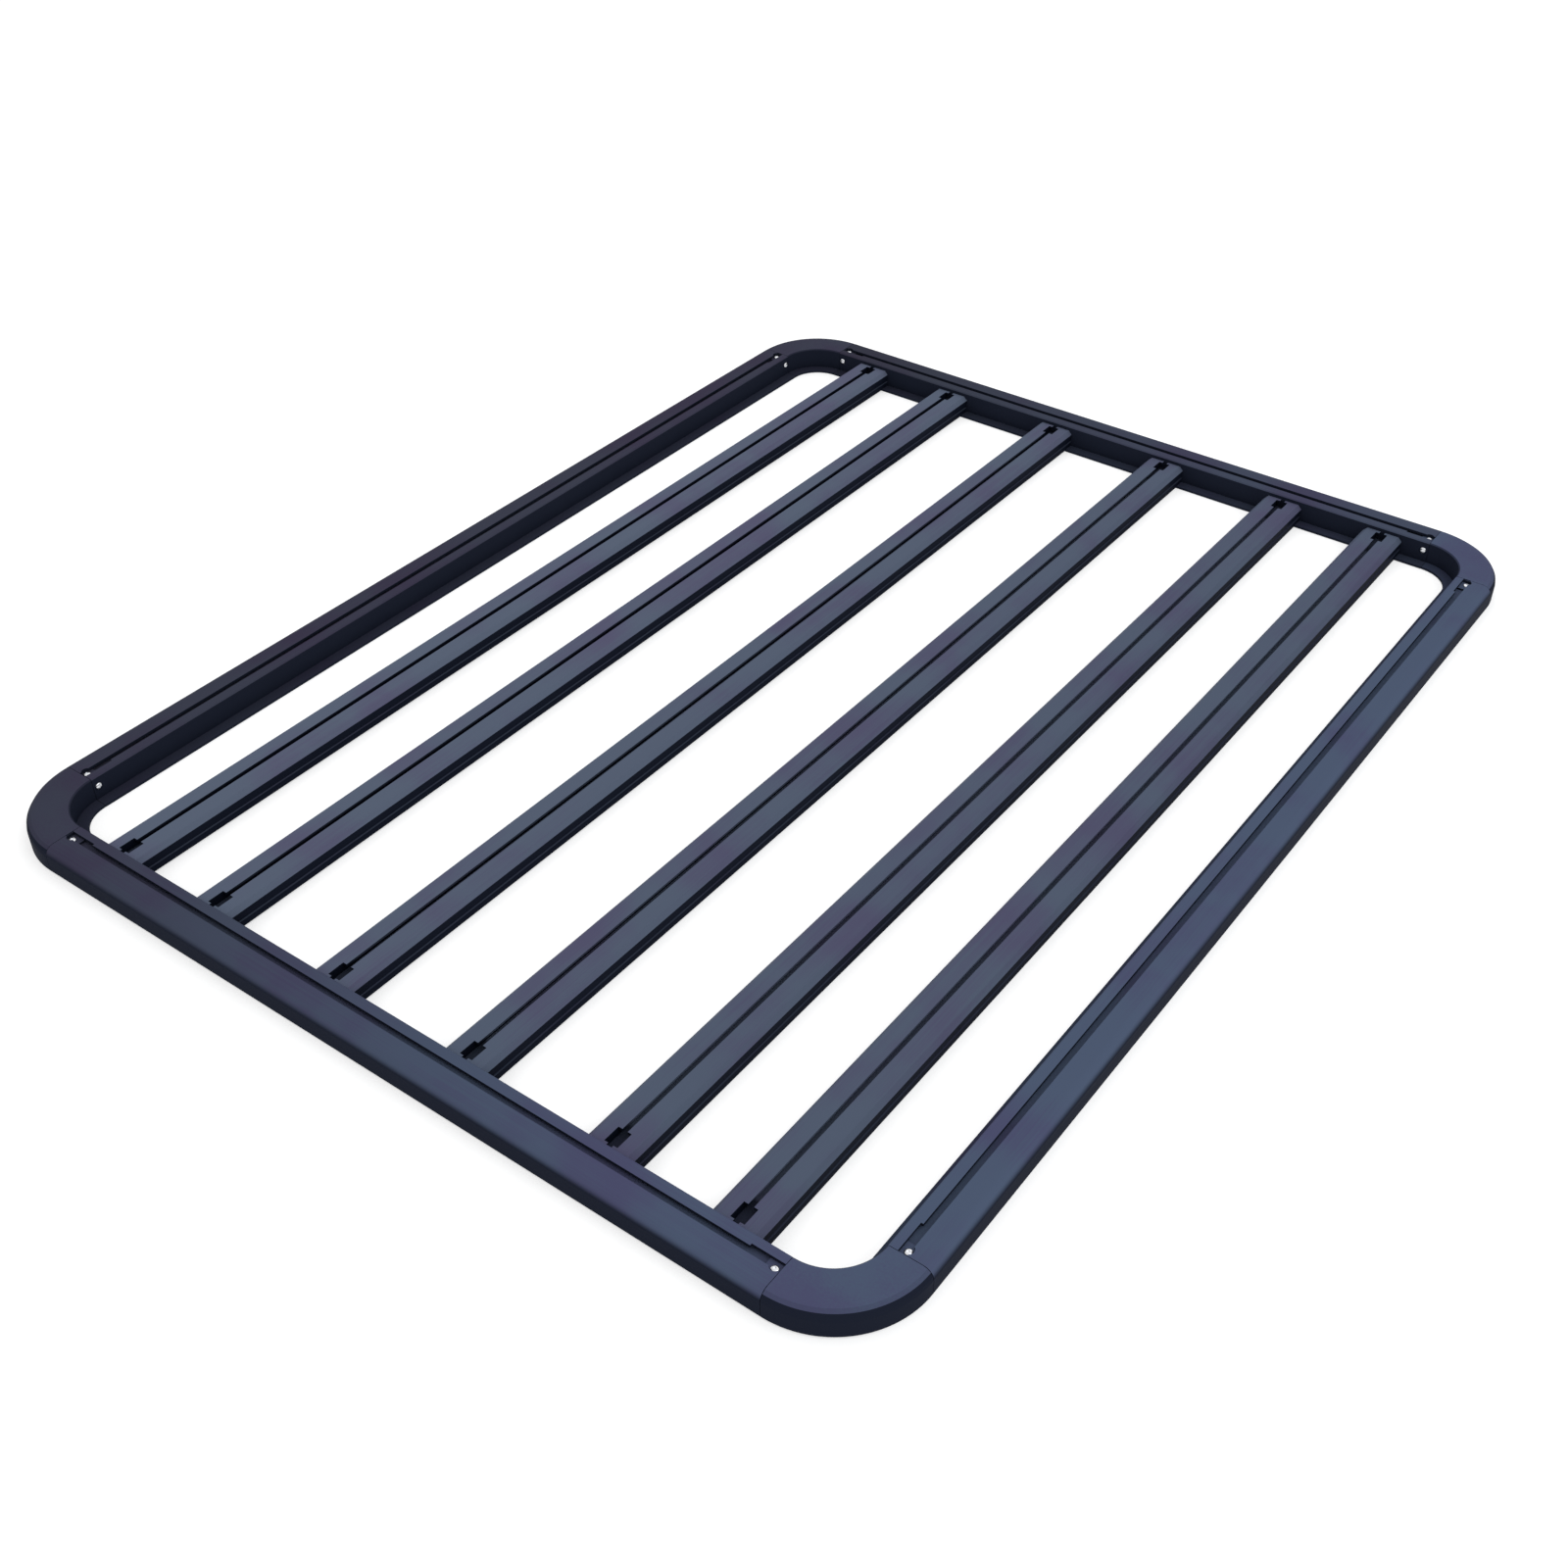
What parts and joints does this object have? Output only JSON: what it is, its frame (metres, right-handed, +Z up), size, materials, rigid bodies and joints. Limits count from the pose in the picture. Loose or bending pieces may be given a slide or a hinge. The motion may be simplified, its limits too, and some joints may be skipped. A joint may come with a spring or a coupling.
{
  "type": "flat platform roof rack",
  "caption": "Flat rectangular roof rack platform: slotted perimeter rails with rounded cast corners and parallel T-slot slats for carrying loads on a vehicle roof.",
  "frame": {"origin": "middle of the underside, on the plane that the rack rests on", "axes": "+X across the rack to the right rail, +Y along the slats to the rear rail, +Z up"},
  "size_m": [1.224, 1.6, 0.034],
  "materials": {
    "rail_coat": "satin black powder coat",
    "corner_coat": "satin black powder coat",
    "slat_coat": "satin black powder coat",
    "bright_screws": "bright stainless"
  },
  "bodies": {
    "root": {"front_rail": "rail_coat", "right_rail": "rail_coat", "rear_rail": "rail_coat", "left_rail": "rail_coat", "front_left_corner": "corner_coat", "front_right_corner": "corner_coat", "rear_left_corner": "corner_coat", "rear_right_corner": "corner_coat", "slat_1": "slat_coat", "slat_2": "slat_coat", "slat_3": "slat_coat", "slat_4": "slat_coat", "slat_5": "slat_coat", "slat_6": "slat_coat"}
  },
  "joints": []
}
